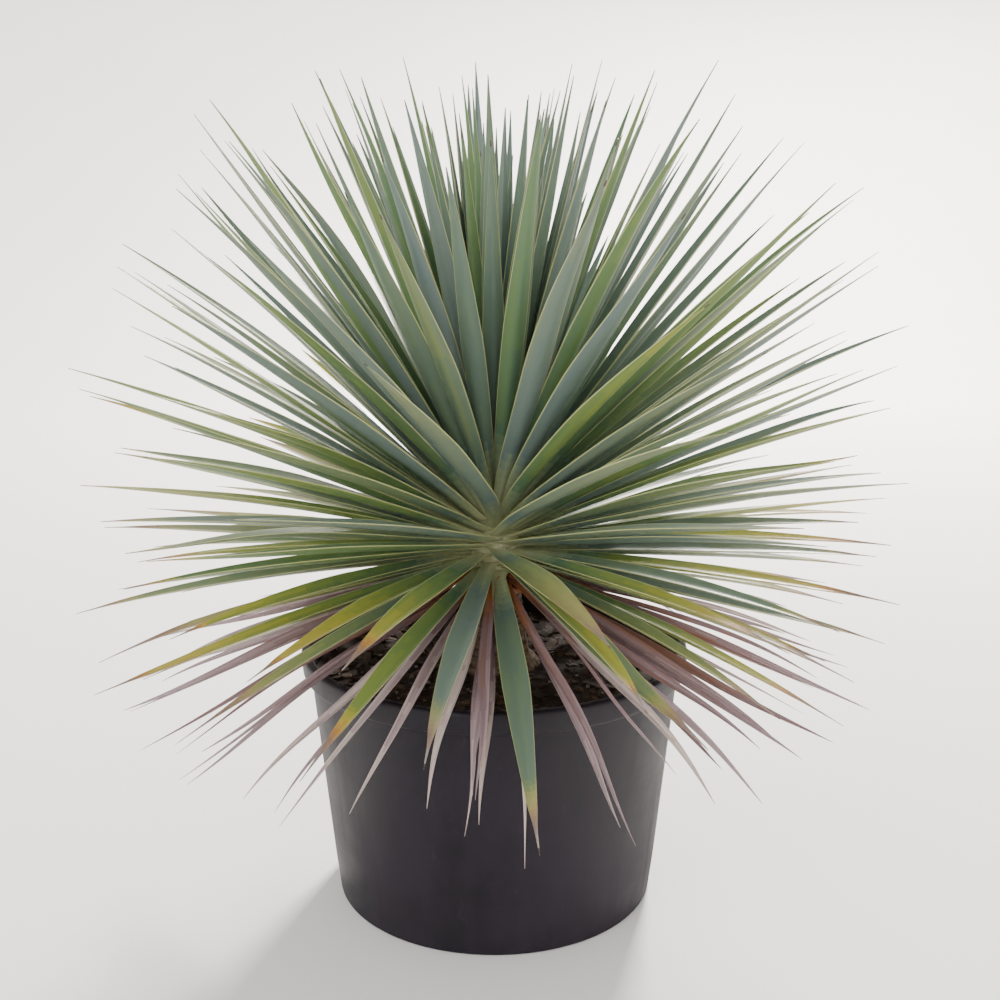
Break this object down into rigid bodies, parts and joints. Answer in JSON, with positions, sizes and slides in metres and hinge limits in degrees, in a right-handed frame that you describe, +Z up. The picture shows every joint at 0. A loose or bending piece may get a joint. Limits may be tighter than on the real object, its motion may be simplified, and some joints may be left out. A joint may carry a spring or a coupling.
{
  "type": "potted yucca",
  "caption": "Live yucca in a round tapered nursery pot: a ball-shaped rosette of stiff sword leaves on a short stem, with dry leaves sloping out under it.",
  "frame": {"origin": "centre of the pot's flat underside", "axes": "+Z up along the pot's axis and the stem; -Y faces the picture's camera; +X is to the right of that view"},
  "size_m": [1.0398, 1.0434, 1.0863],
  "materials": {
    "pot": "black moulded nursery plastic, dusty, dull sheen",
    "potting_mix": "moist bark and peat mix, rough",
    "stem": "grey-brown, ringed with old leaf scars, rough",
    "young_leaf": "grey-green with a waxy bloom, semi-matt",
    "mature_leaf": "green with a pale edge, semi-matt",
    "old_leaf": "olive to yellow with brown tips, semi-matt",
    "dead_leaf": "dry grey-brown, matt"
  },
  "bodies": {
    "root": {"pot": "pot", "potting_soil": "potting_mix", "stem": "stem", "dead_leaves_1": "dead_leaf", "dead_leaves_2": "dead_leaf", "dead_leaves_3": "dead_leaf", "dead_leaves_4": "dead_leaf", "dead_leaves_5": "dead_leaf", "dead_leaves_6": "dead_leaf", "dead_leaves_7": "dead_leaf", "dead_leaves_8": "dead_leaf", "low_leaves_1": "old_leaf", "low_leaves_2": "old_leaf", "low_leaves_3": "old_leaf", "low_leaves_4": "old_leaf", "low_leaves_5": "old_leaf", "low_leaves_6": "old_leaf", "low_leaves_7": "old_leaf", "low_leaves_8": "old_leaf", "spreading_leaves_1": "mature_leaf", "spreading_leaves_2": "mature_leaf", "spreading_leaves_3": "mature_leaf", "spreading_leaves_4": "mature_leaf", "spreading_leaves_5": "mature_leaf", "spreading_leaves_6": "mature_leaf", "spreading_leaves_7": "mature_leaf", "spreading_leaves_8": "mature_leaf", "rising_leaves_1": "mature_leaf", "rising_leaves_2": "mature_leaf", "rising_leaves_3": "mature_leaf", "rising_leaves_4": "mature_leaf", "rising_leaves_5": "mature_leaf", "rising_leaves_6": "mature_leaf", "rising_leaves_7": "mature_leaf", "rising_leaves_8": "mature_leaf", "steep_leaves_1": "young_leaf", "steep_leaves_2": "young_leaf", "steep_leaves_3": "young_leaf", "steep_leaves_4": "young_leaf", "steep_leaves_5": "young_leaf", "steep_leaves_6": "young_leaf", "steep_leaves_7": "young_leaf", "steep_leaves_8": "young_leaf", "heart_leaves": "young_leaf"}
  },
  "joints": []
}
